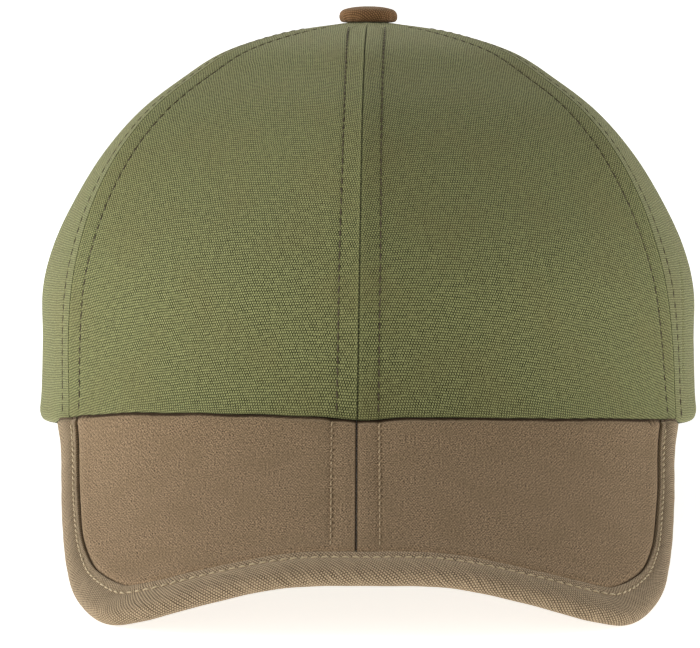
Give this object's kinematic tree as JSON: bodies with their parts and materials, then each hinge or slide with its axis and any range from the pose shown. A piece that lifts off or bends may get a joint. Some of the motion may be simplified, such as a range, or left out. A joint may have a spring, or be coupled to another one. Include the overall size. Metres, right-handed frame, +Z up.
{
  "type": "canvas cap",
  "caption": "Soft canvas cap with a panelled crown, a curved peak split down its middle with a bound edge, and a covered button.",
  "frame": {"origin": "on the surface the cap lies on, under the middle of its box", "axes": "+Z up, -Y towards the tip of the peak, +X to the right of someone who faces the front"},
  "size_m": [0.1774, 0.2598, 0.1273],
  "materials": {
    "crown_canvas": "sage green cotton canvas, plain weave, matte",
    "peak_canvas": "taupe cotton canvas, plain weave, matte",
    "binding_canvas": "taupe cotton canvas cut on the bias, folded over the edge",
    "button_canvas": "brown cotton canvas drawn tight over a button blank"
  },
  "bodies": {
    "root": {"front_left_panel": "crown_canvas", "front_right_panel": "crown_canvas", "side_left_panel": "crown_canvas", "side_right_panel": "crown_canvas", "back_left_panel": "crown_canvas", "back_right_panel": "crown_canvas", "peak_left": "peak_canvas", "peak_right": "peak_canvas", "peak_binding": "binding_canvas", "top_button": "button_canvas"}
  },
  "joints": []
}
